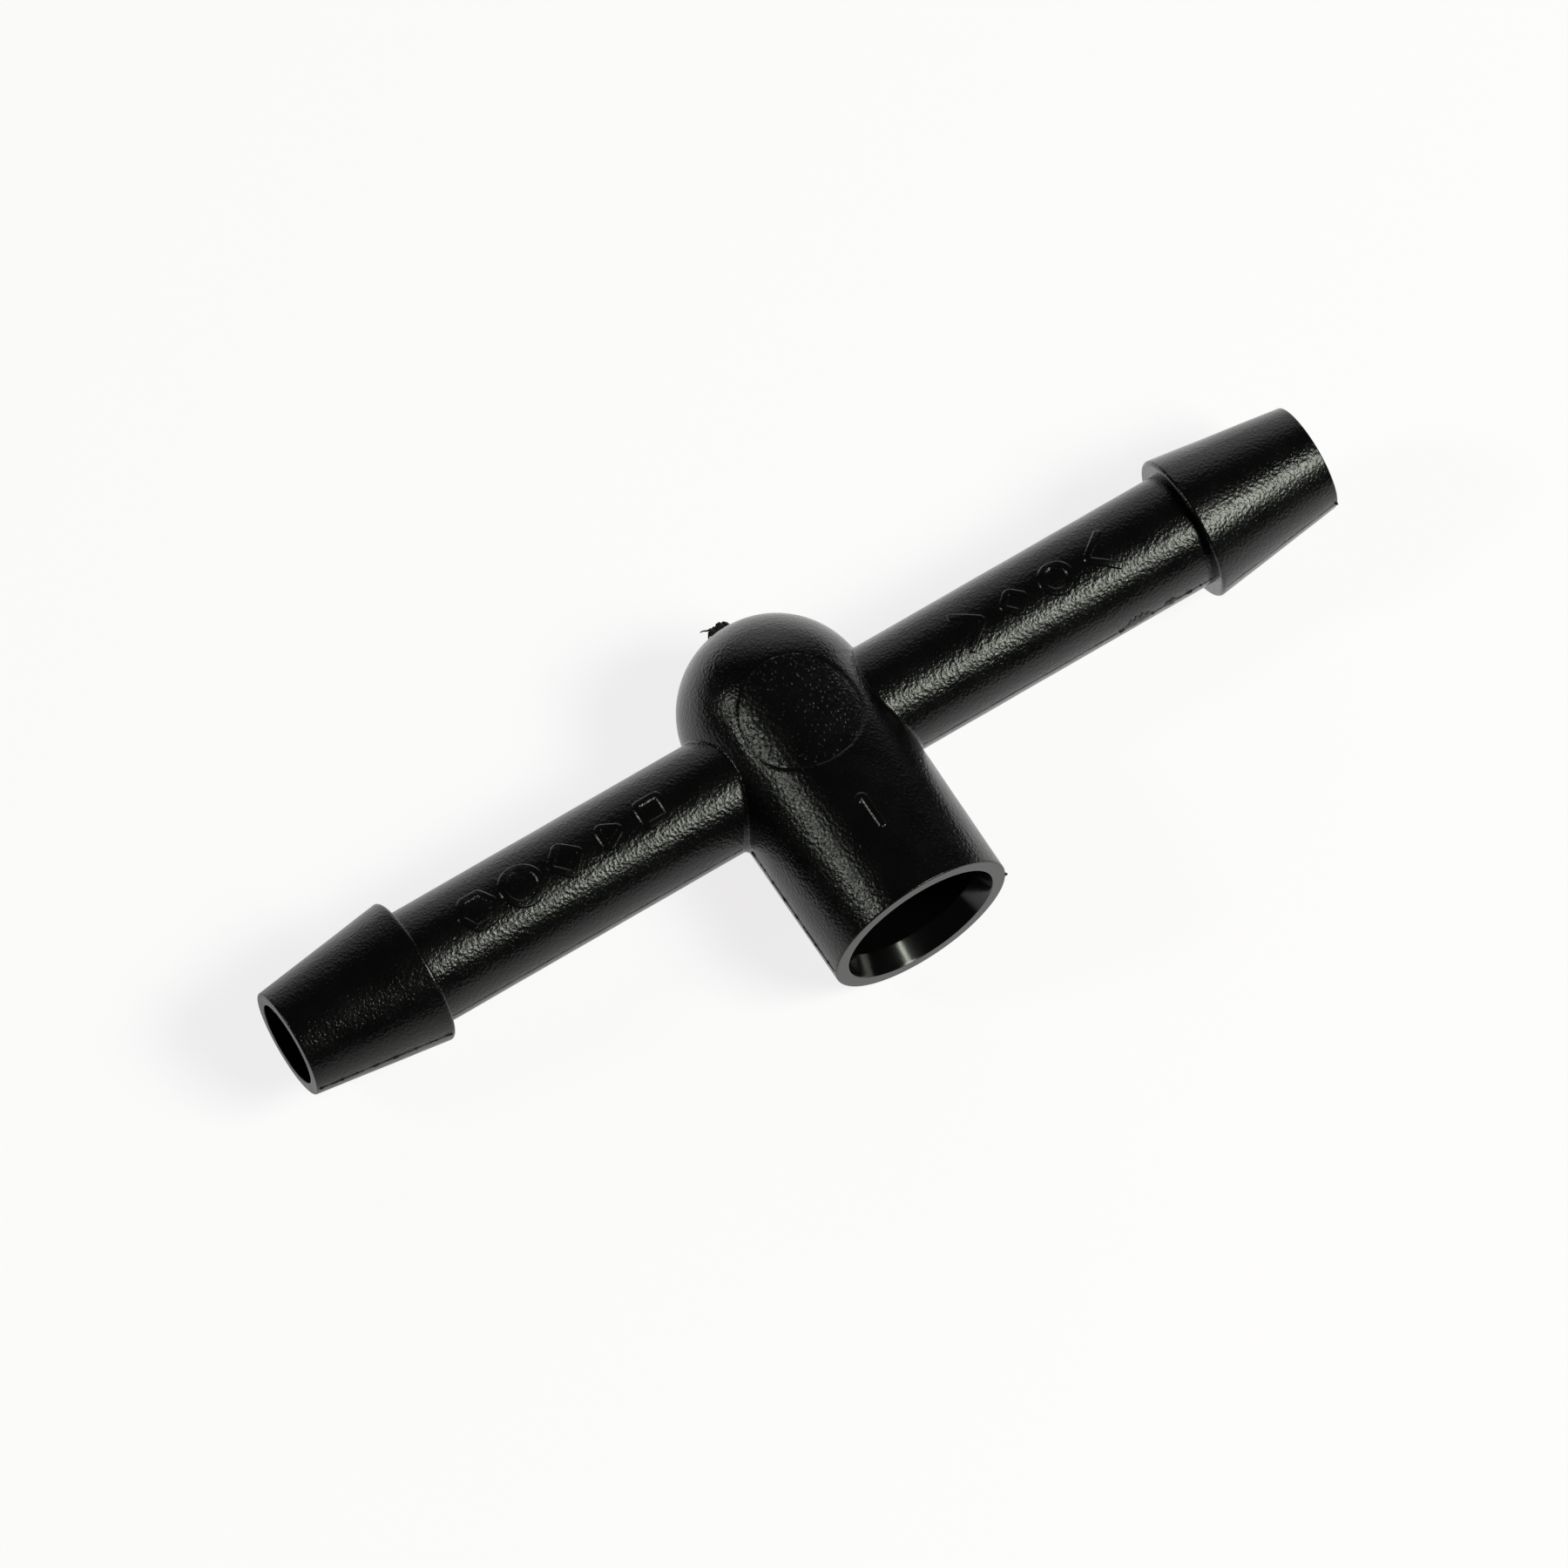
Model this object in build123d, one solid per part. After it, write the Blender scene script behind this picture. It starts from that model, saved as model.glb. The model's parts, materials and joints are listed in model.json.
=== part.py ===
from build123d import *
from math import cos, pi
import os

# Barbed tee for micro-irrigation hose: a straight run with a hose barb at each end,
# and a socket that branches off it, closed by a dome on the far side.
# Millimetres. X runs from the left barb to the right barb, -Y points out of the socket's
# mouth and +Z up to the side with the moulded marks. The origin is where the axis of the
# run crosses the axis of the socket.

# Run: bore, stems and barbs
run_length = 46.0           # barb tip to barb tip
run_bore_radius = 1.70
stem_wall = 0.655
barb_length = 5.73
barb_height = 0.63          # shoulder's step above the stem
barb_tip_wall = 0.50
barb_shoulder_round = 0.14
barb_tip_round = 0.07

# Socket, hub and dome
socket_radius = 2.93
socket_wall = 0.92
socket_reach = 8.60         # run axis to the mouth
socket_floor_wall = 1.30    # run bore to the socket's floor
socket_draft = 0.03         # how much slimmer the socket is at its mouth
lead_in_depth = 0.88
lead_in_flare = 0.31
branch_bore_radius = 2.00
dome_offset = 1.75          # run axis to the dome's centre

# Moulded marks
pin_mark_radius = 2.38
pin_mark_sink = 0.05
pin_mark_thickness = 0.25
mark_height = 0.07
mark_stroke = 0.30
mark_size = 1.80            # across the stem
left_mark_pitch = 1.95
chevron_width = 1.15
chevron_spacing = 5.75      # between the two chevrons' middles
inner_mark_spacing = 1.90    # lozenge's middle to ring's middle
inner_mark_radius = 0.72
number_height = 1.60        # along the middle of its upright stroke
number_flag = 0.42
number_from_mouth = 3.40    # mouth to the upright stroke's middle
number_aside = 0.07         # upright stroke's middle to the right of the socket's axis

# Gate vestige and parting flash
gate_width = 1.00
gate_thickness = 0.34
gate_height = 0.58
flash_thickness = 0.06
flash_height = 0.05

# Sizes that follow
stem_radius = run_bore_radius + stem_wall
barb_shoulder_radius = stem_radius + barb_height
barb_tip_radius = run_bore_radius + barb_tip_wall
barb_shoulder_x = run_length / 2 - barb_length
hub_radius = socket_radius + socket_wall
stem_middle_x = (hub_radius + barb_shoulder_x) / 2
mouth_y = -socket_reach
floor_y = -(run_bore_radius + socket_floor_wall)
mouth_outer_radius = hub_radius - socket_draft
lead_in_radius = socket_radius + lead_in_flare
dome_top_y = dome_offset + hub_radius
beyond = run_length         # longer than any cut has to be


def round_bar(radius, start, end, axis):
    """Solid cylinder about the X or the Y axis, from start to end along it."""
    bar = Cylinder(radius, end - start, align=(Align.CENTER, Align.CENTER, Align.MIN))
    if axis == Axis.X:
        return Pos(start, 0, 0) * Rot(0, 90, 0) * bar
    return Pos(0, start, 0) * Rot(-90, 0, 0) * bar


def turned_about_y(*points):
    """Solid turned about the Y axis from a closed outline of (radius, y) points."""
    return revolve(make_face(Polyline(*points, close=True)), Axis.Y)


def body_envelope(grow=0):
    """Outside of the dome, hub and socket as one solid, every radius larger by grow."""
    radius = hub_radius + grow
    sleeve = turned_about_y(
        (0, mouth_y), (mouth_outer_radius + grow, mouth_y), (radius, floor_y), (0, floor_y)
    )
    hub = round_bar(radius, floor_y, dome_offset, Axis.Y)
    return sleeve + hub + Pos(0, dome_offset, 0) * Sphere(radius)


def past_y(y):
    """Block that holds everything on the dome's side of a plane across Y."""
    return Pos(0, y, 0) * Box(beyond, beyond, beyond, align=(Align.CENTER, Align.MIN, Align.CENTER))


def make_run_bore():
    return round_bar(run_bore_radius, -beyond, beyond, Axis.X)


def make_pin_mark_column():
    """Upright column with the outline of the round mark on the hub."""
    return Cylinder(pin_mark_radius, beyond, align=(Align.CENTER, Align.CENTER, Align.MIN))


def make_pin_mark():
    """Curved disc that the round mould insert left, just below the hub's surface."""
    outer = body_envelope(-pin_mark_sink)
    inner = body_envelope(-pin_mark_sink - pin_mark_thickness)
    return make_pin_mark_column() & (outer - inner)


def make_pin_mark_pocket():
    """What the hub and dome give up for the round mark."""
    return make_pin_mark_column() - body_envelope(-pin_mark_sink - pin_mark_thickness)


def make_hub():
    hub = round_bar(hub_radius, floor_y, dome_offset, Axis.Y)
    hub -= round_bar(branch_bore_radius, floor_y, dome_offset, Axis.Y)
    return hub - make_run_bore() - make_pin_mark_pocket()


def make_dome():
    centre = Pos(0, dome_offset, 0)
    dome = centre * Sphere(hub_radius) & past_y(dome_offset)
    dome -= centre * Sphere(branch_bore_radius)
    return dome - make_run_bore() - make_pin_mark_pocket()


def make_socket_sleeve():
    lead_in_end = mouth_y + lead_in_depth
    return turned_about_y(
        (socket_radius, floor_y),
        (hub_radius, floor_y),
        (mouth_outer_radius, mouth_y),
        (lead_in_radius, mouth_y),
        (socket_radius, lead_in_end),
    )


def make_right_stem():
    stem = round_bar(stem_radius, 0, barb_shoulder_x, Axis.X)
    return stem - make_run_bore() - body_envelope()


def widest_rim(solid, at_x=None):
    """Largest circular edge of a solid that is turned about X, among those at one x if given."""
    rims = solid.edges().filter_by(GeomType.CIRCLE)
    if at_x is not None:
        rims = rims.filter_by_position(Axis.X, at_x, at_x)
    return rims.sort_by(SortBy.RADIUS)[-1]


def make_right_barb():
    """Hollow cone from the flat shoulder to the tip, with both outer edges rounded."""
    outline = Polyline(
        (barb_shoulder_x, run_bore_radius),
        (barb_shoulder_x, barb_shoulder_radius),
        (run_length / 2, barb_tip_radius),
        (run_length / 2, run_bore_radius),
        close=True,
    )
    barb = revolve(make_face(outline), Axis.X)
    barb = fillet(widest_rim(barb), barb_shoulder_round)
    return fillet(widest_rim(barb, at_x=run_length / 2), barb_tip_round)


def raised_on_stem(outline):
    """Relief of an outline that is drawn in the XY plane, standing on the stem's top."""
    shell = round_bar(stem_radius + mark_height, -beyond, beyond, Axis.X)
    shell -= round_bar(stem_radius, -beyond, beyond, Axis.X)
    return extrude(outline, beyond) & shell


def polygon_outline(radius, sides):
    """Regular polygon with an open middle and sides one stroke wide."""
    inset = mark_stroke / cos(pi / sides)
    return RegularPolygon(radius, sides) - RegularPolygon(radius - inset, sides)


def ring_outline(radius):
    return Circle(radius) - Circle(radius - mark_stroke)


def make_left_stem_marks():
    """Row of plain outlined shapes: hexagon, ring, lozenge, triangle and square."""
    half = mark_size / 2
    shapes = [
        polygon_outline(half, 6),
        ring_outline(half),
        polygon_outline(half, 4),
        polygon_outline(half, 3),
        Rot(0, 0, 45) * polygon_outline(half, 4),
    ]
    first_x = -stem_middle_x - left_mark_pitch * (len(shapes) - 1) / 2
    placed = [Pos(first_x + left_mark_pitch * i, 0) * shape for i, shape in enumerate(shapes)]
    return Compound([raised_on_stem(shape) for shape in placed])


def make_right_stem_marks():
    """Two chevrons that point at each other, with a lozenge and a ring between them."""
    half = mark_size / 2
    chevron = trace(
        Polyline((-chevron_width / 2, half), (chevron_width / 2, 0), (-chevron_width / 2, -half)),
        mark_stroke,
    )
    placed = [
        Pos(stem_middle_x - chevron_spacing / 2, 0) * chevron,
        Pos(stem_middle_x + chevron_spacing / 2, 0) * Rot(0, 0, 180) * chevron,
        Pos(stem_middle_x - inner_mark_spacing / 2, 0) * polygon_outline(inner_mark_radius, 4),
        Pos(stem_middle_x + inner_mark_spacing / 2, 0) * ring_outline(inner_mark_radius),
    ]
    return Compound([raised_on_stem(shape) for shape in placed])


def make_cavity_number():
    """Raised 1 on the socket, with its head towards the dome."""
    top = number_height / 2
    strokes = trace(
        Polyline((-number_flag, top - number_flag), (0, top), (0, -top)),
        mark_stroke,
    )
    outline = Pos(number_aside, mouth_y + number_from_mouth) * strokes
    return extrude(outline, beyond) & (body_envelope(mark_height) - body_envelope())


def make_gate_vestige():
    """Torn stub of the gate on the dome's top, with both top corners torn away."""
    root = dome_top_y - gate_height
    outline = Polyline(
        (-gate_width / 2, root),
        (-gate_width / 2, dome_top_y + gate_height / 2),
        (-gate_width / 3, dome_top_y + gate_height),
        (gate_width / 4, dome_top_y + gate_height),
        (gate_width / 2, dome_top_y + gate_height / 2),
        (gate_width / 2, root),
        close=True,
    )
    return extrude(make_face(outline), gate_thickness / 2, both=True) - body_envelope()


def make_parting_flash():
    """Thin fins where the mould halves met, along the stems and the socket's sides."""
    slab = Box(2 * beyond, 2 * beyond, flash_thickness)
    reach = (0, barb_shoulder_x, Axis.X)
    stem_shell = round_bar(stem_radius + flash_height, *reach) - round_bar(stem_radius, *reach)
    stem_fin = (stem_shell & slab) - past_y(0) - body_envelope(flash_height)
    socket_shell = body_envelope(flash_height) - body_envelope() - past_y(-stem_radius)
    fins = [stem_fin, mirror(stem_fin, Plane.YZ), socket_shell & slab]
    return Compound([solid for fin in fins for solid in fin.solids()])


right_stem = make_right_stem()
right_barb = make_right_barb()
pieces = {
    "hub": make_hub(),
    "hub_dome": make_dome(),
    "hub_pin_mark": make_pin_mark(),
    "socket_sleeve": make_socket_sleeve(),
    "left_stem": mirror(right_stem, Plane.YZ),
    "right_stem": right_stem,
    "left_barb": mirror(right_barb, Plane.YZ),
    "right_barb": right_barb,
    "left_stem_marks": make_left_stem_marks(),
    "right_stem_marks": make_right_stem_marks(),
    "cavity_number": make_cavity_number(),
    "gate_vestige": make_gate_vestige(),
    "parting_flash": make_parting_flash(),
}

os.makedirs("parts", exist_ok=True)
for name, shape in pieces.items():
    export_step(shape, f"parts/{name}.step")
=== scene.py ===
import json
import math

import bmesh
import bpy
import mathutils
import numpy as np
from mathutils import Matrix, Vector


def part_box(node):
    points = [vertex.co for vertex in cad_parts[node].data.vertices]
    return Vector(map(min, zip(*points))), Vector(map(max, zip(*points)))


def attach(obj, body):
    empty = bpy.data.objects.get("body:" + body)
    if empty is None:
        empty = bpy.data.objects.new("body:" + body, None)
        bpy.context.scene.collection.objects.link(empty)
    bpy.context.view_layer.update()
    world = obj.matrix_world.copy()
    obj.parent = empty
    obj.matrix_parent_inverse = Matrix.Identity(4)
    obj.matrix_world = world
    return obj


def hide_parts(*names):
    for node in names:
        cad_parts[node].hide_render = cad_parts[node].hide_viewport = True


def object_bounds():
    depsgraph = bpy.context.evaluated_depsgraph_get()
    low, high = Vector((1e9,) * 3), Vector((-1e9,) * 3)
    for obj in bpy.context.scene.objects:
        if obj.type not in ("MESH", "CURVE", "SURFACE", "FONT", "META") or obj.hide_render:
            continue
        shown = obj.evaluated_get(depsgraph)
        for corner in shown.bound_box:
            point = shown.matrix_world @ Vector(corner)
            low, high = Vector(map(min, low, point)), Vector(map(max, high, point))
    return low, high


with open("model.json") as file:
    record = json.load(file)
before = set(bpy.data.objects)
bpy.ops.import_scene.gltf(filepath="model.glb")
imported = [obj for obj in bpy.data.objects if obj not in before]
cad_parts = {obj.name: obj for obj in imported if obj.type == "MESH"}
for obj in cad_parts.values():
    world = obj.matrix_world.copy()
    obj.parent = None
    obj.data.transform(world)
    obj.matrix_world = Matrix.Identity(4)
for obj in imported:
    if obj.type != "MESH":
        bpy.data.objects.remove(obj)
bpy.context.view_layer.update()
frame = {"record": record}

# ---- Hub -------------------------------------------------------------------------------
# The barrel where the run crosses the branch, in the middle of one injection moulding of
# black plastic, modelled as polyamide. Its outside carries the fine grain of a
# spark-eroded mould; the water's two bores meet inside it and are smooth.

MM = 0.001  # shapes are worked out in millimetres and stored in metres
GRID_SPACING = 0.10  # longest step along the turned outlines


def node_box(node):
    """Lowest and highest corners of a CAD node, in millimetres."""
    return np.array(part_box(node)) / MM


def mount_size(name, key):
    """One dimension of a named mount in the record, in millimetres."""
    mount = next(m for m in frame["record"]["mounts"] if m["name"] == name)
    return mount["dims"][key]


hub_low, hub_high = node_box("hub")
hub_radius = hub_high[0]
floor_y, dome_y = hub_low[1], hub_high[1]
bore_radius = mount_size("run_bore", "r_mm")
branch_radius = 2.0
near_wall = 0.02  # faces this close to a bore's wall belong to it

# Recess under the insert's witness on top of the hub
pin_mark_radius = node_box("hub_pin_mark")[1, 0]
recess_depth = 0.065
recess_slope = 0.18  # width of the ring over which it falls to its full depth


def smooth_step(value):
    """0 below 0, 1 above 1, and the cubic 3v^2 - 2v^3 between."""
    value = np.clip(value, 0, 1)
    return value * value * (3 - 2 * value)


def waviness(points):
    """Shrinkage ripple: three slow crossed sines of position, a few microns high."""
    x, y, z = np.moveaxis(points, -1, 0)
    ripple = np.sin(2.1 * x + 1.3 * np.sin(0.9 * y)) + np.sin(2.6 * y - 1.7 * z)
    return 0.0016 * (ripple + np.sin(1.4 * x + 2.3 * z))


def sunk_and_rippled(points, normals):
    """Moves outside points along their normals: down in the round recess, and by the ripple."""
    across = np.hypot(points[..., 0], points[..., 1])
    inside = smooth_step((pin_mark_radius + recess_slope / 2 - across) / recess_slope)
    drop = -recess_depth * inside * (points[..., 2] > 0) + waviness(points)
    return points + normals * drop[..., None]


def grid_quads(rows, columns, close_rows=False, close_columns=False):
    """Quads between the neighbours in a grid of points; a closed side joins its last line to
    its first."""
    i = np.arange(rows if close_rows else rows - 1)[:, None]
    j = np.arange(columns if close_columns else columns - 1)[None, :]
    after_i, after_j = (i + 1) % rows, (j + 1) % columns
    corners = [i * columns + j, after_i * columns + j, after_i * columns + after_j, i * columns + after_j]
    return np.stack(np.broadcast_arrays(*corners), -1).reshape(-1, 4)


def make_piece(name, sheets, material, nodes, sharp_angle=35, polished=None):
    """One closed piece from sheets of (points, quads): welded, turned outwards and smooth
    between its sharp edges. It rides on the root and stands for its CAD nodes. Where the rule
    polished holds for a face's middle (x, y, z), the face gets the polished plastic."""
    points = np.concatenate([p.reshape(-1, 3) for p, _ in sheets]) * MM
    starts = np.cumsum([0] + [p.size // 3 for p, _ in sheets[:-1]])
    quads = np.concatenate([q + start for (_, q), start in zip(sheets, starts)])
    mesh = bpy.data.meshes.new(name)
    mesh.from_pydata(points, [], quads.tolist())
    work = bmesh.new()
    work.from_mesh(mesh)
    bmesh.ops.remove_doubles(work, verts=work.verts, dist=1e-7)
    bmesh.ops.dissolve_degenerate(work, edges=work.edges, dist=1e-8)
    bmesh.ops.recalc_face_normals(work, faces=work.faces)
    work.to_mesh(mesh)
    work.free()
    mesh.shade_smooth()
    mesh.set_sharp_from_angle(angle=math.radians(sharp_angle))
    mesh.materials.append(material)
    if polished:
        mesh.materials.append(polished_plastic)
        middles = np.empty(3 * len(mesh.polygons))
        mesh.polygons.foreach_get("center", middles)
        is_polished = polished(*middles.reshape(-1, 3).T / MM)
        mesh.polygons.foreach_set("material_index", is_polished.astype(np.int32))
    piece = bpy.data.objects.new(name, mesh)
    bpy.context.collection.objects.link(piece)
    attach(piece, "root")
    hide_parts(*nodes)
    return piece


def noise_texture(material, scale, detail, distortion=0.0):
    """Noise read at the piece's own coordinates, so that it stays on the plastic."""
    nodes, links = material.node_tree.nodes, material.node_tree.links
    noise = nodes.new("ShaderNodeTexNoise")
    noise.inputs["Scale"].default_value = scale
    noise.inputs["Detail"].default_value = detail
    noise.inputs["Distortion"].default_value = distortion
    place = nodes.new("ShaderNodeTexCoord")
    links.new(place.outputs["Object"], noise.inputs["Vector"])
    return noise


def patchy_gloss(material, roughness, spread, colour):
    """Slow noise that makes the plastic's gloss and its black a little uneven."""
    nodes, links = material.node_tree.nodes, material.node_tree.links
    shader = nodes["Principled BSDF"]
    shader.inputs["IOR"].default_value = 1.53
    patches = noise_texture(material, 900.0, 3.0)
    gloss = nodes.new("ShaderNodeMapRange")
    gloss.inputs["From Min"].default_value = 0.3
    gloss.inputs["From Max"].default_value = 0.7
    gloss.inputs["To Min"].default_value = roughness - spread
    gloss.inputs["To Max"].default_value = roughness + spread
    links.new(patches.outputs["Fac"], gloss.inputs["Value"])
    links.new(gloss.outputs["Result"], shader.inputs["Roughness"])
    tint = nodes.new("ShaderNodeMix")
    tint.data_type = "RGBA"
    tint.inputs["A"].default_value = (*colour, 1)
    tint.inputs["B"].default_value = (*[c * 1.7 for c in colour], 1)
    links.new(patches.outputs["Fac"], tint.inputs["Factor"])
    links.new(tint.outputs["Result"], shader.inputs["Base Color"])


BLACK = (0.0022, 0.0024, 0.0023)


def moulded_plastic(name, grain_scale, grain_height, roughness, pimple=0.5, colour=BLACK):
    """Black plastic with spark-eroded grain. The relief is the sum of a worm-like noise, the
    distance to the nearest of many scattered pits, and pimples, which rise where the points of
    a second scatter are nearer than a third of their spacing."""
    material = bpy.data.materials.new(name)
    material.use_nodes = True
    nodes, links = material.node_tree.nodes, material.node_tree.links
    patchy_gloss(material, roughness, 0.04, colour)
    grain = noise_texture(material, grain_scale, 2.0, distortion=0.8)
    pits = nodes.new("ShaderNodeTexVoronoi")
    pits.feature = "SMOOTH_F1"
    pits.inputs["Scale"].default_value = grain_scale * 0.8
    pits.inputs["Smoothness"].default_value = 0.35
    place = nodes.new("ShaderNodeTexCoord")
    links.new(place.outputs["Object"], pits.inputs["Vector"])
    scatter = nodes.new("ShaderNodeTexVoronoi")
    scatter.inputs["Scale"].default_value = grain_scale
    links.new(place.outputs["Object"], scatter.inputs["Vector"])
    pimples = nodes.new("ShaderNodeMapRange")
    pimples.interpolation_type = "SMOOTHSTEP"
    pimples.inputs["From Min"].default_value = 0.0
    pimples.inputs["From Max"].default_value = 0.33
    pimples.inputs["To Min"].default_value = pimple
    pimples.inputs["To Max"].default_value = 0.0
    links.new(scatter.outputs["Distance"], pimples.inputs["Value"])
    pitted = nodes.new("ShaderNodeMath")
    pitted.operation = "ADD"
    links.new(pits.outputs["Distance"], pitted.inputs[0])
    links.new(pimples.outputs["Result"], pitted.inputs[1])
    relief = nodes.new("ShaderNodeMath")
    relief.operation = "ADD"
    links.new(grain.outputs["Fac"], relief.inputs[0])
    links.new(pitted.outputs[0], relief.inputs[1])
    bump = nodes.new("ShaderNodeBump")
    bump.inputs["Strength"].default_value = 1.0
    bump.inputs["Distance"].default_value = grain_height * MM
    links.new(relief.outputs[0], bump.inputs["Height"])
    links.new(bump.outputs["Normal"], nodes["Principled BSDF"].inputs["Normal"])
    return material


def drawn_plastic(name, roughness):
    """The same black where a polished core formed it: glossy, with faint drag lines that
    follow the way the core was pulled out, from noise stretched forty times along Y."""
    material = bpy.data.materials.new(name)
    material.use_nodes = True
    nodes, links = material.node_tree.nodes, material.node_tree.links
    patchy_gloss(material, roughness, 0.03, BLACK)
    lines = noise_texture(material, 9000.0, 2.0)
    stretch = nodes.new("ShaderNodeMapping")
    stretch.inputs["Scale"].default_value = (1.0, 0.025, 1.0)
    place = nodes.new("ShaderNodeTexCoord")
    links.new(place.outputs["Object"], stretch.inputs["Vector"])
    links.new(stretch.outputs["Vector"], lines.inputs["Vector"])
    bump = nodes.new("ShaderNodeBump")
    bump.inputs["Strength"].default_value = 1.0
    bump.inputs["Distance"].default_value = 0.0012 * MM
    links.new(lines.outputs["Fac"], bump.inputs["Height"])
    links.new(bump.outputs["Normal"], nodes["Principled BSDF"].inputs["Normal"])
    return material


textured = moulded_plastic("textured_black_polyamide", 8800.0, 0.0110, 0.22)
polished_plastic = drawn_plastic("polished_black_polyamide", 0.14)

ROUND_STEPS = 112  # points round half of a hole or half of the hub
ACROSS_STEPS = 30


def frame_to_hole(radius, hole_radius, low_y, high_y):
    """Half of a barrel about Y with a round hole about X. In the flat map of (y, angle round Y)
    straight rays run from the hole's edge to the map's rectangular border, which they reach
    at even steps along its four sides."""
    side = np.linspace(0, 1, ROUND_STEPS // 2, endpoint=False)[:, None]
    corners = np.array([(high_y, -1.0), (high_y, 1.0), (low_y, 1.0), (low_y, -1.0)])
    border = np.concatenate([a + (b - a) * side for a, b in zip(corners, np.roll(corners, -1, 0))])
    border_y, border_turn = border[:, 0], border[:, 1] * math.pi / 2
    around = np.arctan2(np.sin(border_turn), border_y - (low_y + high_y) / 2 + 1e-9)
    hole_y, hole_z = hole_radius * np.cos(around), hole_radius * np.sin(around)
    hole_turn = np.arcsin(hole_z / radius)
    share = np.linspace(0, 1, ACROSS_STEPS)[None, :]
    y = hole_y[:, None] + (border_y - hole_y)[:, None] * share
    turn = hole_turn[:, None] + (border_turn - hole_turn)[:, None] * share
    normals = np.stack([np.cos(turn), np.zeros_like(turn), np.sin(turn)], -1)
    points = normals * radius
    points[..., 1] = y
    return points, normals


def half_hub(side):
    """Right half of the hub for side 1, left for -1: outside, branch wall, the run's tunnel
    between their holes, and the flat ends that close the barrel."""
    flip = np.array([side, 1, 1])
    outer, normals = frame_to_hole(hub_radius, bore_radius, floor_y, dome_y)
    outer = sunk_and_rippled(outer * flip, normals * flip)
    inner = frame_to_hole(branch_radius, bore_radius, floor_y, dome_y)[0] * flip
    rays = outer.shape[0]
    tunnel = np.linspace(outer[:, 0], inner[:, 0], 12, axis=1)
    ends = np.linspace(outer[:, -1], inner[:, -1], 8, axis=1)
    on_end = np.isclose(outer[:, -1, 1], dome_y) | np.isclose(outer[:, -1, 1], floor_y)
    rim = np.arange(rays)
    keep = (on_end & on_end[(rim + 1) % rays]) & (
        np.abs(outer[rim, -1, 1] - outer[(rim + 1) % rays, -1, 1]) < 0.5
    )
    end_quads = grid_quads(rays, 8, close_rows=True).reshape(rays, 7, 4)[keep].reshape(-1, 4)
    wall = grid_quads(rays, ACROSS_STEPS, close_rows=True)
    return [(outer, wall), (inner, wall), (tunnel, grid_quads(rays, 12, close_rows=True)), (ends, end_quads)]


make_piece(
    "hub_body", half_hub(1) + half_hub(-1), textured, ["hub"],
    polished=lambda x, y, z: (
        (np.hypot(x, z) < branch_radius + near_wall) | (np.hypot(y, z) < bore_radius + near_wall)
    ),
)

# ---- Dome ------------------------------------------------------------------------------
# The blind end of the hub: a hemisphere of the same moulded plastic over the branch bore's
# rounded end. The mould filled from its top, where the gate stub is.

dome_steps = 120
turn_steps = 300


def hemisphere(radius):
    """Half sphere past the dome's plane: radius times sine and cosine of the angle from +Y,
    turned about Y."""
    fall = np.linspace(0, math.pi / 2, dome_steps)[:, None]
    turn = np.linspace(0, 2 * math.pi, turn_steps, endpoint=False)[None, :]
    spread = np.sin(fall)
    normals = np.stack([spread * np.cos(turn), np.cos(fall) + 0 * turn, spread * np.sin(turn)], -1)
    return normals * radius + np.array([0, dome_y, 0]), normals


outside, outside_normals = hemisphere(hub_radius)
outside = sunk_and_rippled(outside, outside_normals)
inside = hemisphere(branch_radius)[0]
end_ring = np.linspace(outside[-1], inside[-1], 8)
shell_quads = grid_quads(dome_steps, turn_steps, close_columns=True)
ring_quads = grid_quads(8, turn_steps, close_columns=True)
make_piece(
    "dome", [(outside, shell_quads), (inside, shell_quads), (end_ring, ring_quads)],
    textured, ["hub_dome"],
    polished=lambda x, y, z: np.hypot(np.hypot(x, z), y - dome_y) < branch_radius + near_wall,
)

# ---- Round insert mark -----------------------------------------------------------------
# The witness of the round insert that formed the top of the hub. It is the same plastic,
# a hair lower than the barrel round it, and its grain is coarser than the mould's.

coarse = moulded_plastic("coarse_black_polyamide", 6200.0, 0.0150, 0.25, pimple=1.15)
mark_sink = 0.04  # how far its face lies below the hub's
mark_skirt = 0.16  # and its hidden underside
mark_rings, mark_spokes = 60, 240


def body_top(x, y, radius):
    """Height of the barrel, or of the dome past its plane, over a point (x, y)."""
    past = np.clip(y - dome_y, 0, None)
    return np.sqrt(np.clip(radius**2 - x**2 - past**2, 0, None))


def disc_over_body(radius, spread, rings):
    """Rings of points over the body's top, out to spread, on a body of the given radius."""
    across = np.linspace(0, spread, rings)[:, None]
    turn = np.linspace(0, 2 * math.pi, mark_spokes, endpoint=False)[None, :]
    x, y = across * np.cos(turn), across * np.sin(turn)
    return np.stack([x, y, body_top(x, y, radius)], -1)


upper = disc_over_body(hub_radius - mark_sink, pin_mark_radius, mark_rings)
normals = upper - np.minimum(upper[..., 1:2], dome_y) * np.array([0, 1, 0])
normals /= np.linalg.norm(normals, axis=-1, keepdims=True)
upper = upper + normals * waviness(upper)[..., None]
lower = disc_over_body(hub_radius - mark_skirt, pin_mark_radius, mark_rings)
rim = np.linspace(upper[-1], lower[-1], 4)
disc_quads = grid_quads(mark_rings, mark_spokes, close_columns=True)
make_piece(
    "round_insert_mark",
    [(upper, disc_quads), (lower, disc_quads), (rim, grid_quads(4, mark_spokes, close_columns=True))],
    coarse, ["hub_pin_mark"],
)

# ---- Socket ----------------------------------------------------------------------------
# The open end of the branch, of the same plastic, where a tube's end or a spigot is pushed
# in. A polished cone at the mouth guides it, and it stops on the hub's face at the bottom.

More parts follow.
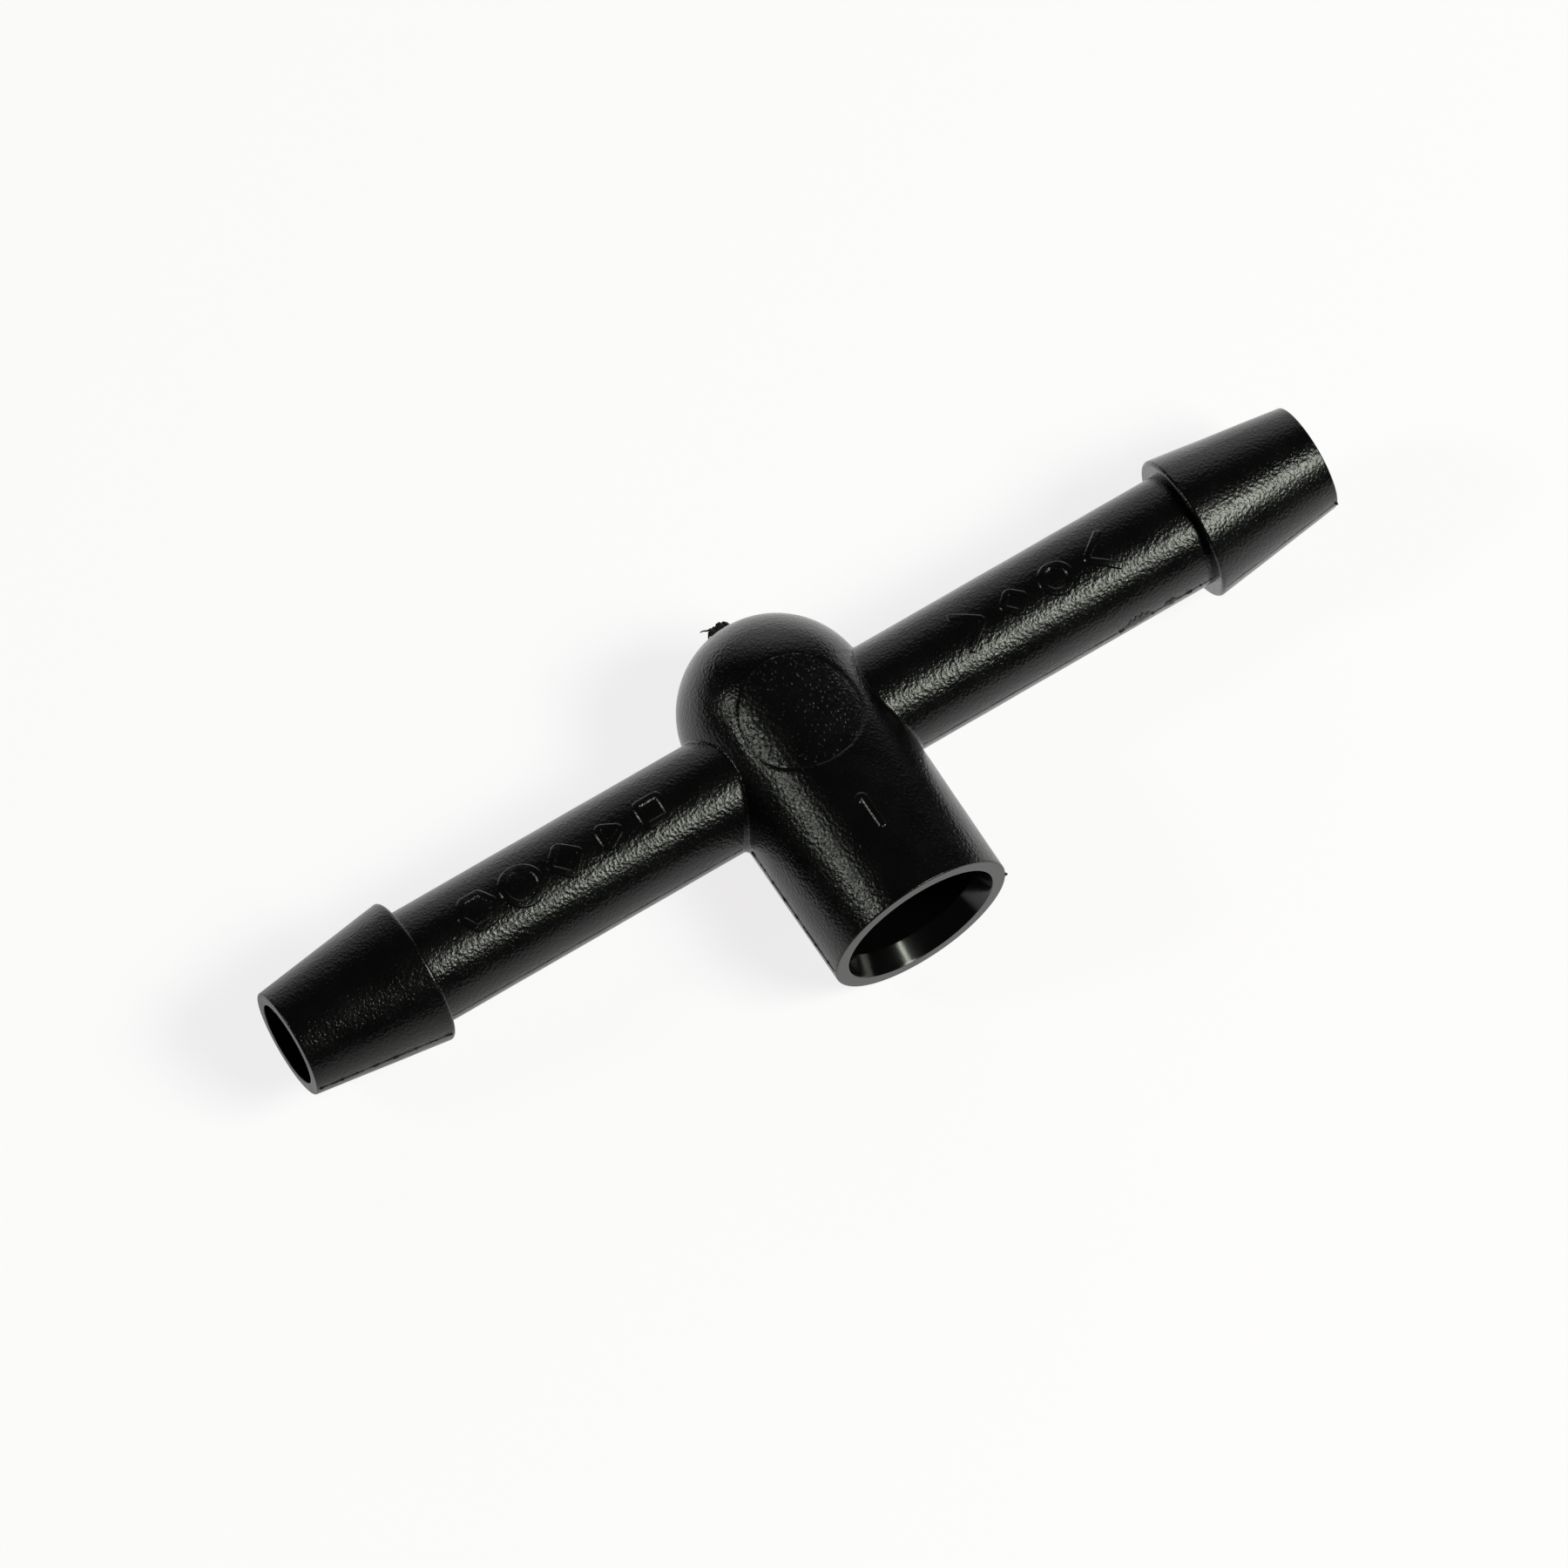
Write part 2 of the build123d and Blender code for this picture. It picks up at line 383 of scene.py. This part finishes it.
mouth_y = node_box("socket_sleeve")[0, 1]
socket_radius = mount_size("socket", "r_mm")
mouth_slimming = 0.03
lead_in_depth, lead_in_flare = 0.88, 0.31
mouth_round, rim_round, lip_round = 0.055, 0.02, 0.012


def rounded_loop(corners, radii, spacing, closed=True):
    """Outline through corners, with each corner replaced by an arc of its radius about the
    point that lies that far from both sides, and straight stretches cut at the spacing."""
    corners, stretches = np.array(corners, float), []
    before, after = np.roll(corners, 1, 0), np.roll(corners, -1, 0)
    for here, last, following, radius in zip(corners, before, after, radii):
        back, ahead = last - here, following - here
        back, ahead = back / np.linalg.norm(back), ahead / np.linalg.norm(ahead)
        half = math.acos(np.clip(back @ ahead, -1, 1)) / 2
        if radius == 0:
            stretches.append(here[None])
            continue
        middle = here + (back + ahead) / np.linalg.norm(back + ahead) * radius / math.sin(half)
        start = here + back * radius / math.tan(half) - middle
        stop = here + ahead * radius / math.tan(half) - middle
        sweep = math.pi - 2 * half
        share = np.linspace(0, 1, 9)[:, None]
        arc = np.sin((1 - share) * sweep) * start + np.sin(share * sweep) * stop
        stretches.append(middle + arc / math.sin(sweep))
    outline = []
    count = len(stretches)
    for i, stretch in enumerate(stretches):
        outline.append(stretch)
        if closed or i < count - 1:
            start, stop = stretch[-1], stretches[(i + 1) % count][0]
            pieces = max(1, math.ceil(np.linalg.norm(stop - start) / spacing))
            outline.append(start + (stop - start) * np.linspace(0, 1, pieces, endpoint=False)[1:, None])
    return np.concatenate(outline)


def turned(outline, axis, steps):
    """A closed outline of (along, radius) carried round the X or the Y axis."""
    turn = np.linspace(0, 2 * math.pi, steps, endpoint=False)[:, None]
    along, radius = outline[:, 0] + 0 * turn, outline[:, 1]
    across, up = radius * np.cos(turn), radius * np.sin(turn)
    points = np.stack([along, across, up] if axis == "X" else [across, along, up], -1)
    return points, grid_quads(steps, len(outline), close_rows=True, close_columns=True)


sleeve_outline = rounded_loop(
    [
        (floor_y, hub_radius),
        (mouth_y, hub_radius - mouth_slimming),
        (mouth_y, socket_radius + lead_in_flare),
        (mouth_y + lead_in_depth, socket_radius),
        (floor_y, socket_radius),
    ],
    [0, mouth_round, rim_round, lip_round, 0],
    GRID_SPACING,
)
sleeve, sleeve_quads = turned(sleeve_outline, "Y", turn_steps)
radial = sleeve * np.array([1, 0, 1])
radial /= np.linalg.norm(radial, axis=-1, keepdims=True)
is_outside = (sleeve_outline[:, 1] > hub_radius - 0.1)[None, :, None]
sleeve = sleeve + radial * waviness(sleeve)[..., None] * is_outside
make_piece(
    "socket", [(sleeve, sleeve_quads)], textured, ["socket_sleeve"],
    polished=lambda x, y, z: np.hypot(x, z) < hub_radius - mouth_slimming - mouth_round,
)

# ---- Stems -----------------------------------------------------------------------------
# The two tubes of the run, moulded in one with the hub. Each grows out of it in one tight
# concave fillet, larger on the socket's side, and runs straight to its barb. Hose covers
# them in use.

stem_high = node_box("right_stem")[1]
shoulder_x, stem_radius = stem_high[0], stem_high[2]
fillet_mean, fillet_swing = 0.17, 0.06  # radius, and how much it grows towards the socket
stem_turns, stem_lengths, fillet_steps = 150, 140, 10


def body_side(y, z, radius):
    """Distance from the branch's axis to the barrel, or to the dome past its plane."""
    past = np.clip(y - dome_y, 0, None)
    return np.sqrt(radius**2 - z**2 - past**2)


def stem_surface(side):
    """A closed loop for each angle round X: along the outside, down the fillet (a ball that
    rolls in the corner between stem and hub), across the saddle, back along the bore and up
    the end."""
    turn = np.linspace(0, 2 * math.pi, stem_turns, endpoint=False)[:, None]
    out_y, out_z = np.cos(turn), np.sin(turn)
    ball = fillet_mean - fillet_swing * out_y
    ball_y, ball_z = (stem_radius + ball) * out_y, (stem_radius + ball) * out_z
    ball_x = body_side(ball_y, ball_z, hub_radius + ball)
    foot = np.stack([ball_x, np.minimum(ball_y, dome_y), ball_z], -1)
    from_hub = np.stack([ball_x, np.clip(ball_y - dome_y, 0, None), ball_z], -1)
    from_hub /= np.linalg.norm(from_hub, axis=-1, keepdims=True)
    from_stem = np.stack([0 * turn, out_y, out_z], -1)

    share = np.linspace(0, 1, stem_lengths)[None, :]
    outside_x = shoulder_x + (ball_x - shoulder_x) * share
    outside = np.stack([outside_x, stem_radius * out_y + 0 * share, stem_radius * out_z + 0 * share], -1)
    outside = outside + from_stem * waviness(outside)[..., None]

    share = np.linspace(0, 1, fillet_steps)[None, 1:, None]
    lean = np.arccos(np.clip((from_stem * from_hub).sum(-1, keepdims=True), -1, 1))
    reach = (np.sin((1 - share) * lean) * from_stem + np.sin(share * lean) * from_hub) / np.sin(lean)
    centre = np.stack([ball_x, ball_y, ball_z], -1)
    fillet = centre - reach * ball[..., None]

    share = np.linspace(0, 1, 10)[None, 1:]
    last = fillet[:, -1]
    level = np.hypot(last[:, 1], last[:, 2])[:, None]
    angle = np.arctan2(last[:, 2], last[:, 1])[:, None]
    level = level + (bore_radius - level) * share
    saddle_y, saddle_z = level * np.cos(angle), level * np.sin(angle)
    saddle = np.stack([body_side(saddle_y, saddle_z, hub_radius), saddle_y, saddle_z], -1)

    share = np.linspace(0, 1, 60)[None, 1:, None]
    end = np.stack([shoulder_x + 0 * turn, bore_radius * out_y, bore_radius * out_z], -1)
    bore = saddle[:, -1:] + (end - saddle[:, -1:]) * share
    rise = end + (outside[:, :1] - end) * np.linspace(0, 1, 5)[None, 1:-1, None]
    points = np.concatenate([outside, fillet, saddle, bore, rise], axis=1) * np.array([side, 1, 1])
    return points, grid_quads(*points.shape[:2], close_rows=True, close_columns=True)


for name, side in (("left_stem", -1), ("right_stem", 1)):
    make_piece(
        name + "_tube", [stem_surface(side)], textured, [name],
        polished=lambda x, y, z: np.hypot(y, z) < bore_radius + near_wall,
    )

# ---- Barbs -----------------------------------------------------------------------------
# Hollow cones of the same plastic, moulded in one with the stems. The hose slides up the
# cone, stretches over the flat shoulder and closes on the stem behind it. Both rims are a
# little rounded.

barb_high = node_box("right_barb")[1]
tip_x = barb_high[0]
shoulder_radius = barb_high[2] + 0.015  # before its rim is rounded
tip_radius = 2.20
shoulder_round, tip_round, bore_round = 0.14, 0.07, 0.03
barb_turns = 220

for name, side in (("left_barb", -1), ("right_barb", 1)):
    outline = rounded_loop(
        [
            (side * shoulder_x, bore_radius),
            (side * shoulder_x, shoulder_radius),
            (side * tip_x, tip_radius),
            (side * tip_x, bore_radius),
        ],
        [0, shoulder_round, tip_round, bore_round],
        GRID_SPACING,
    )
    points, quads = turned(outline, "X", barb_turns)
    radial = points * np.array([0, 1, 1])
    radial /= np.linalg.norm(radial, axis=-1, keepdims=True)
    is_outside = (outline[:, 1] > tip_radius - 0.1)[None, :, None]
    points = points + radial * waviness(points)[..., None] * is_outside
    make_piece(
        name + "_cone", [(points, quads)], textured, [name],
        polished=lambda x, y, z: np.hypot(y, z) < bore_radius + near_wall,
    )

# ---- Raised marks on the stems ---------------------------------------------------------
# Relief in the same plastic, from engraving in the mould, so it stands up from the stems:
# a row of plain outlined shapes on the left, and two chevrons with a lozenge and a ring
# between them on the right.

raised = moulded_plastic("raised_black_polyamide", 9000.0, 0.0075, 0.21)
stroke, mark_height, mark_root, mark_edge = 0.28, 0.042, 0.03, 0.02
mark_slope = 0.08  # how far each flank of a stroke leans out between its top and its foot
mark_corner = stroke * 0.55
mark_size, mark_pitch = 1.80, 1.95
stem_middle = (hub_radius + shoulder_x) / 2
path_spacing = 0.05


def over_stem(x, y, height):
    """A point above (x, y) on the stem's top, lifted by height square to the surface."""
    up = np.sqrt(stem_radius**2 - y**2)
    lift = 1 + height / stem_radius
    return np.stack([x, y * lift, up * lift], -1)


def ridge(path, closed, surface):
    """A low ridge with a flat top, leaning flanks and softened edges, carried along a path in
    the XY plane and laid on a surface. An open path's ends draw in along a quarter circle."""
    top, foot = (stroke - mark_slope) / 2, (stroke + mark_slope) / 2 + mark_root
    section = rounded_loop(
        [(-foot, -mark_root), (-top, mark_height), (top, mark_height), (foot, -mark_root)],
        [0, mark_edge, mark_edge, 0],
        stroke / 6,
    )
    if closed:
        ahead = np.roll(path, -1, 0) - np.roll(path, 1, 0)
        size = np.ones(len(path))
    else:
        ahead = np.gradient(path, axis=0)
        run = np.linalg.norm(np.diff(path, axis=0), axis=1).cumsum()
        run = np.concatenate([[0], run])
        to_end = np.minimum(run, run[-1] - run) / (stroke / 2)
        size = np.sqrt(1 - (1 - np.clip(to_end, 0, 1)) ** 2)
    ahead /= np.linalg.norm(ahead, axis=1, keepdims=True)
    aside = np.stack([-ahead[:, 1], ahead[:, 0]], -1)
    offset = section[:, 0] * size[:, None]
    height = -mark_root + (section[:, 1] + mark_root) * size[:, None]
    x = path[:, 0, None] + aside[:, 0, None] * offset
    y = path[:, 1, None] + aside[:, 1, None] * offset
    points = surface(x, y, height)
    return points, grid_quads(*points.shape[:2], close_rows=closed, close_columns=True)


def polygon_path(radius, sides, first_angle=0.0):
    """Regular polygon's middle line, half a stroke inside its outline, with rounded corners."""
    radius = radius - stroke / 2 / math.cos(math.pi / sides)
    turn = first_angle + np.arange(sides) * 2 * math.pi / sides
    corners = radius * np.stack([np.cos(turn), np.sin(turn)], -1)
    return rounded_loop(corners, [mark_corner] * sides, path_spacing)


def ring_path(radius):
    """Circle's middle line, half a stroke inside its outline."""
    turn = np.linspace(0, 2 * math.pi, 80, endpoint=False)
    return (radius - stroke / 2) * np.stack([np.cos(turn), np.sin(turn)], -1)


half = mark_size / 2
shapes = [
    polygon_path(half, 6), ring_path(half), polygon_path(half, 4),
    polygon_path(half, 3), polygon_path(half, 4, math.pi / 4),
]
centres = -stem_middle + mark_pitch * (np.arange(5) - 2)
make_piece(
    "left_stem_relief",
    [ridge(shape + np.array([centre, 0]), True, over_stem) for shape, centre in zip(shapes, centres)],
    raised, ["left_stem_marks"],
)

chevron_width, chevron_spacing = 1.15, 5.75
inner_radius, inner_spacing = 0.72, 1.90


def chevron_path(direction):
    """Open V whose tip points along X in the given direction."""
    tip = direction * chevron_width / 2
    corners = [(-tip, half), (tip, 0), (-tip, -half)]
    return rounded_loop(corners, [0, mark_corner, 0], path_spacing, closed=False)


right_marks = [
    (chevron_path(1), -chevron_spacing / 2, False),
    (chevron_path(-1), chevron_spacing / 2, False),
    (polygon_path(inner_radius, 4), -inner_spacing / 2, True),
    (ring_path(inner_radius), inner_spacing / 2, True),
]
right_ridges = [
    ridge(path + np.array([stem_middle + shift, 0]), closed, over_stem)
    for path, shift, closed in right_marks
]
make_piece("right_stem_relief", right_ridges, raised, ["right_stem_marks"])

# ---- Cavity number ---------------------------------------------------------------------
# A raised 1 in the same plastic on the socket's top, which tells the mould's cavities
# apart. Its head points to the dome.

number_low, number_high = node_box("cavity_number")
number_height, number_flag = 1.95, 0.42
number_place = np.array([number_high[0] - stroke / 2, (number_low[1] + number_high[1]) / 2])


def over_socket(x, y, height):
    """A point above (x, y) on the socket's top, lifted by height square to the barrel."""
    slim = hub_radius - mouth_slimming * (floor_y - y) / (floor_y - mouth_y)
    lift = 1 + height / slim
    return np.stack([x * lift, y, np.sqrt(slim**2 - x**2) * lift], -1)


top = number_height / 2
one = rounded_loop(
    [(-number_flag, top - number_flag), (0, top - stroke / 2), (0, stroke / 2 - top)],
    [0, stroke * 0.4, 0], path_spacing, closed=False,
)
make_piece(
    "cavity_number_relief", [ridge(one + number_place, False, over_socket)],
    raised, ["cavity_number"],
)

# ---- Gate stub -------------------------------------------------------------------------
# Where the runner was torn off the dome: a ragged little tab of dull, stretched plastic,
# thin at its torn edge, with two threads pulled out at one end.

torn = moulded_plastic("torn_black_polyamide", 5000.0, 0.016, 0.45, colour=(0.006, 0.005, 0.004))
gate_low, gate_high = node_box("gate_vestige")
tab_columns, tab_turns = 60, 28
tab_root_half, tab_torn_half = 0.16, 0.05


def torn_tab():
    """Upright blade on the dome's top. Each section across X is a flattened loop from the root
    to a torn edge whose height wanders in uneven sines, and the ends draw in to points."""
    along = np.linspace(0, 1, tab_columns)[:, None]
    turn = np.linspace(0, 2 * math.pi, tab_turns, endpoint=False)[None, :]
    x = gate_low[0] + 0.03 + (gate_high[0] - gate_low[0] - 0.02) * along + 0 * turn
    draw_in = np.sqrt(np.clip(1 - np.abs(2 * along - 1) ** 5, 0, 1))
    torn_edge = gate_high[1] - 0.05 + 0.03 * np.sin(17 * x) + 0.018 * np.sin(43 * x + 1)
    root = gate_low[1] - 0.05
    rise = (0.5 + 0.5 * np.cos(turn)) * draw_in
    y = root + (torn_edge - root) * rise
    half = tab_root_half + (tab_torn_half - tab_root_half) * rise
    waver = 0.04 * np.sin(7 * x + 0.5) * rise + 0.014 * np.sin(31 * x + 9 * y)
    z = half * draw_in * np.sign(np.sin(turn)) * np.abs(np.sin(turn)) ** 0.7 + waver
    return np.stack([x, y, z], -1), grid_quads(tab_columns, tab_turns, close_columns=True)


def pulled_thread(route, thick, thin):
    """Thread through points: a circle carried along the smooth curve through them, which
    thins evenly and draws in to a point at both ends."""
    share = np.linspace(0, 1, 40)
    degree = len(route) - 1
    weights = np.stack([
        math.comb(degree, i) * share**i * (1 - share) ** (degree - i) for i in range(degree + 1)
    ], -1)
    middle = weights @ np.array(route, float)
    ahead = np.gradient(middle, axis=0)
    ahead /= np.linalg.norm(ahead, axis=1, keepdims=True)
    aside = np.cross(ahead, [0, 0, 1])
    over = np.cross(aside, ahead)
    draw_in = np.sqrt(np.clip(1 - np.abs(2 * share - 1) ** 16, 0, 1))
    radius = (thick + (thin - thick) * share) * draw_in
    turn = np.linspace(0, 2 * math.pi, 10, endpoint=False)[None, :, None]
    loop = np.cos(turn) * aside[:, None] + np.sin(turn) * over[:, None]
    points = middle[:, None] + radius[:, None, None] * loop
    return points, grid_quads(40, 10, close_columns=True)


tab_top = gate_high[1] - 0.06
threads = [
    ([(-0.30, tab_top - 0.03, 0), (-0.42, tab_top - 0.10, 0), (-0.52, tab_top + 0.10, 0.02),
      (-0.70, tab_top + 0.02, 0.04)], 0.045, 0.022),
    ([(-0.36, tab_top - 0.12, 0), (-0.44, tab_top - 0.20, 0), (-0.55, tab_top - 0.36, 0)], 0.06, 0.03),
]
make_piece(
    "gate_stub", [torn_tab()] + [pulled_thread(*thread) for thread in threads],
    torn, ["gate_vestige"], sharp_angle=60,
)

# ---- Parting flash ---------------------------------------------------------------------
# Where the mould halves met, a skin of plastic squeezed out as a thin uneven fin along
# the stems, the barbs and the socket's flanks, with a few torn flakes and nibs.

flash_thickness = 0.04
flash_root = 0.03  # how far the fins reach into the wall they stand on


def fin(start, stop, outward, height, tooth=0.0):
    """Thin fin in the mould's parting plane along a straight line in the XY plane, with a
    point every twentieth of a millimetre. Its height wanders in sines; a tooth stands out
    wherever a faster pair of sines agree."""
    start, stop = np.array(start), np.array(stop)
    count = math.ceil(np.linalg.norm(stop - start) / 0.05) + 2
    path = start + (stop - start) * np.linspace(0, 1, count)[:, None]
    run = np.linalg.norm(path - start, axis=1)
    wander = 0.75 + 0.17 * np.sin(2.7 * run + start[0]) + 0.08 * np.sin(7.9 * run + 1.0)
    agree = np.sin(3.1 * run + 0.6) * np.sin(11.3 * run) + 0.3 * np.sin(29 * run)
    tall = height * wander + tooth * smooth_step(2 * agree - 0.5)
    thick = np.full(count, flash_thickness)
    thick[[0, -1]] = 0.0
    tall[[0, -1]] = 0.0
    section = [
        (-flash_root, -0.5), (0.0, -0.5), (1, -0.15), (1, 0.15), (0.0, 0.5), (-flash_root, 0.5),
    ]
    stand = [np.where(h > 0, tall, h * (thick > 0)) for h, _ in section]
    points = [
        np.stack([path[:, 0] + outward[0] * out, path[:, 1] + outward[1] * out, thick * t], -1)
        for out, (_, t) in zip(stand, section)
    ]
    return np.stack(points, 1), grid_quads(count, len(section), close_columns=True)


def nib(point, outward, length):
    """Tiny torn point on a rim: a four-sided spike, squashed to the fin's thickness."""
    along = np.linspace(0, 1, 8)[:, None]
    turn = np.linspace(0, 2 * math.pi, 8, endpoint=False)[None, :]
    outward = np.array(outward) / np.linalg.norm(outward)
    aside = np.array([-outward[1], outward[0]])
    width = 0.09 * np.sqrt(np.clip(1 - along, 0, 1)) * np.sqrt(np.clip(along * 8, 0, 1))
    reach = length * (1.3 * along - 0.3)
    x = point[0] + outward[0] * reach + aside[0] * width * np.cos(turn)
    y = point[1] + outward[1] * reach + aside[1] * width * np.cos(turn)
    z = flash_thickness * np.sin(turn) * np.sqrt(np.clip(1 - along, 0, 1)) * np.clip(8 * along, 0, 1)
    return np.stack([x, y, z], -1), grid_quads(8, 8, close_columns=True)


def flake(start_x, stop_x, rise):
    """Scab of torn flash that lies against the stem's flank from the parting line upwards: a
    thin shell whose upper edge rises by an angle along half a sine wave with uneven teeth."""
    along = np.linspace(0, 1, 50)[:, None]
    x = start_x + (stop_x - start_x) * along
    arch = np.clip(np.sin(math.pi * along), 0, 1) ** 0.6
    ragged = arch * (1 + 0.22 * np.sin(23 * x) + 0.12 * np.sin(61 * x + 2))
    climb = np.concatenate([np.linspace(-0.15, 1, 12), np.linspace(1, -0.15, 12)])[None, :]
    lift = np.concatenate([0.045 - 0.02 * np.linspace(0, 1, 12) ** 2, np.full(12, -0.03)])[None, :]
    turn = -math.pi / 2 + rise * ragged * climb
    radius = stem_radius + lift * arch + 0.006 * np.sin(37 * x + 5 * climb) * (lift > 0) * arch
    points = np.stack([x + 0 * turn, radius * np.sin(turn), radius * np.cos(turn)], -1)
    return points, grid_quads(50, 24, close_columns=True)


near_hub = hub_radius + 0.2
mouth_edge = hub_radius - mouth_slimming
flaked_from, flaked_to = 12.9, 16.9  # the rougher stretch of the right stem's fin
fins = [
    fin((-near_hub, -stem_radius), (-shoulder_x, -stem_radius), (0, -1), 0.018),
    fin((near_hub, -stem_radius), (flaked_from, -stem_radius), (0, -1), 0.020),
    fin((flaked_from, -stem_radius), (flaked_to, -stem_radius), (0, -1), 0.030, tooth=0.04),
    fin((flaked_to, -stem_radius), (shoulder_x, -stem_radius), (0, -1), 0.020),
    flake(13.1, 14.5, 0.17),
    flake(14.95, 15.6, 0.11),
    fin(
        (-shoulder_x - 0.15, -shoulder_radius + 0.03), (-tip_x + 0.07, -tip_radius - 0.01),
        (0, -1), 0.040, tooth=0.025,
    ),
    fin((shoulder_x + 0.15, -shoulder_radius + 0.03), (tip_x - 0.07, -tip_radius - 0.01), (0, -1), 0.020),
    fin((-hub_radius, -stem_radius - 0.25), (-mouth_edge, mouth_y + 0.06), (-1, 0), 0.035, tooth=0.02),
    fin((hub_radius, -stem_radius - 0.25), (mouth_edge, mouth_y + 0.06), (1, 0), 0.018),
    nib((tip_x - 0.10, -tip_radius), (0.3, -1), 0.12),
    nib((mouth_edge, mouth_y + 0.05), (1, -0.5), 0.11),
]
make_piece("parting_fins", fins, torn, ["parting_flash"], sharp_angle=60)

# ---- Floor, lights and camera ----------------------------------------------------------
# A pale table that glows from within. The camera sees its glow evenly bright. Every other ray sees a painted
# pool of light in that glow, brightest behind the fitting and fading away from it, which lights the fitting
# from below. Under a dark ceiling: one soft light high on the right in front, a small one on the left
# behind, a glow low behind the table, and a long lens from above.

fitting_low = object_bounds()[0]
floor_size = 4.0
floor_mesh = bpy.data.meshes.new("floor")
edge, floor_z = floor_size / 2, fitting_low[2]
floor_mesh.from_pydata(
    [(-edge, -edge, floor_z), (edge, -edge, floor_z), (edge, edge, floor_z), (-edge, edge, floor_z)],
    [], [(0, 1, 2, 3)],
)
floor_object = bpy.data.objects.new("floor", floor_mesh)
bpy.context.collection.objects.link(floor_object)
floor_material = bpy.data.materials.new("pale_floor")
floor_material.use_nodes = True
nodes, links = floor_material.node_tree.nodes, floor_material.node_tree.links
floor_shader = nodes["Principled BSDF"]
floor_shader.inputs["Base Color"].default_value = (0.35, 0.35, 0.35, 1)
floor_shader.inputs["Roughness"].default_value = 0.9
floor_shader.inputs["Specular IOR Level"].default_value = 0.0
floor_shader.inputs["Emission Color"].default_value = (1, 0.985, 1, 1)
painted_pool_middle = (0.018, 0.029, floor_z)  # the painted pool of light is centred behind the fitting, so it reaches further there
painted_pool_strength, painted_pool_radius = 0.88, 0.028
painted_pool_dim_strength, painted_pool_dim_radius = 0.15, 0.066  # the painted pool of light has faded to this, this far from its middle
seen_strength = 0.82
place = nodes.new("ShaderNodeTexCoord")
from_middle = nodes.new("ShaderNodeVectorMath")
from_middle.operation = "DISTANCE"
from_middle.inputs[1].default_value = painted_pool_middle
links.new(place.outputs["Object"], from_middle.inputs[0])
painted_light_pool = nodes.new("ShaderNodeMapRange")
painted_light_pool.inputs["From Min"].default_value = painted_pool_radius
painted_light_pool.inputs["From Max"].default_value = painted_pool_dim_radius
painted_light_pool.inputs["To Min"].default_value = painted_pool_strength
painted_light_pool.inputs["To Max"].default_value = painted_pool_dim_strength
links.new(from_middle.outputs["Value"], painted_light_pool.inputs["Value"])
# Camera rays see the floor's glow evenly bright; all other rays see the painted pool of light.
seen = nodes.new("ShaderNodeLightPath")
evenly = nodes.new("ShaderNodeMix")
links.new(seen.outputs["Is Camera Ray"], evenly.inputs["Factor"])
links.new(painted_light_pool.outputs["Result"], evenly.inputs["A"])
evenly.inputs["B"].default_value = seen_strength
links.new(evenly.outputs["Result"], floor_shader.inputs["Emission Strength"])
floor_mesh.materials.append(floor_material)


def soft_light(name, direction, distance, size, power, colour):
    """Rectangular light that faces the fitting from a direction."""
    light = bpy.data.lights.new(name, "AREA")
    light.shape = "RECTANGLE"
    light.size, light.size_y = size
    light.energy = power
    light.color = colour
    lamp = bpy.data.objects.new(name, light)
    towards = np.array(direction) / np.linalg.norm(direction)
    lamp.location = towards * distance
    lamp.rotation_euler = (math.acos(towards[2]), 0, math.atan2(towards[1], towards[0]) + math.pi / 2)
    bpy.context.collection.objects.link(lamp)


soft_light("front_right_softbox", (0.43, -0.52, 0.78), 0.60, (0.26, 0.20), 1.85, (0.94, 1.0, 0.87))
soft_light("back_left_light", (-0.73, 0.34, 0.59), 0.60, (0.10, 0.10), 0.31, (0.94, 1.0, 0.88))

world = bpy.data.worlds.new("studio")
bpy.context.scene.world = world
world.use_nodes = True
nodes, links = world.node_tree.nodes, world.node_tree.links
direction = nodes.new("ShaderNodeTexCoord").outputs["Generated"]
glow_turn = math.radians(63)
glow_strength, ceiling_strength = 0.86, 0.02
towards_glow = nodes.new("ShaderNodeVectorMath")
towards_glow.operation = "DOT_PRODUCT"
towards_glow.inputs[1].default_value = (math.cos(glow_turn), math.sin(glow_turn), 0.0)
links.new(direction, towards_glow.inputs[0])
glow = nodes.new("ShaderNodeMapRange")
glow.inputs["From Min"].default_value = 0.72
glow.inputs["From Max"].default_value = 1.0
links.new(towards_glow.outputs["Value"], glow.inputs["Value"])
fade = nodes.new("ShaderNodeMath")
fade.operation = "POWER"
fade.inputs[1].default_value = 1.5
links.new(glow.outputs["Result"], fade.inputs[0])
brighten = nodes.new("ShaderNodeMath")
brighten.operation = "MULTIPLY_ADD"
brighten.inputs[1].default_value = glow_strength
brighten.inputs[2].default_value = ceiling_strength
links.new(fade.outputs[0], brighten.inputs[0])
links.new(brighten.outputs[0], nodes["Background"].inputs["Strength"])
nodes["Background"].inputs["Color"].default_value = (0.985, 0.965, 1.0, 1)

azimuth, elevation, roll = math.radians(-31.956), math.radians(66.475), math.radians(-0.156)
camera_distance = 665.5
aim_right, aim_up = 0.64, 1.34  # the crossing of the axes lies this far from the picture's middle
lens, sensor = 400.0, 36.0

level = math.cos(elevation)
back = np.array([math.sin(azimuth) * level, -math.cos(azimuth) * level, math.sin(elevation)])
right = np.cross([0, 0, 1], back)
right /= np.linalg.norm(right)
up = np.cross(back, right)
cos_roll, sin_roll = math.cos(roll), math.sin(roll)
right, up = cos_roll * right + sin_roll * up, cos_roll * up - sin_roll * right
place = (back * camera_distance - right * aim_right - up * aim_up) * MM

camera_data = bpy.data.cameras.new("camera")
camera_data.lens, camera_data.sensor_width = lens, sensor
camera_data.clip_start, camera_data.clip_end = 0.01, 20.0
camera = bpy.data.objects.new("camera", camera_data)
pose = np.eye(4)
pose[:3, :3] = np.stack([right, up, back], axis=1)
pose[:3, 3] = place
camera.matrix_world = mathutils.Matrix(pose)
bpy.context.collection.objects.link(camera)
bpy.context.scene.camera = camera
bpy.context.scene.view_settings.view_transform = "Standard"
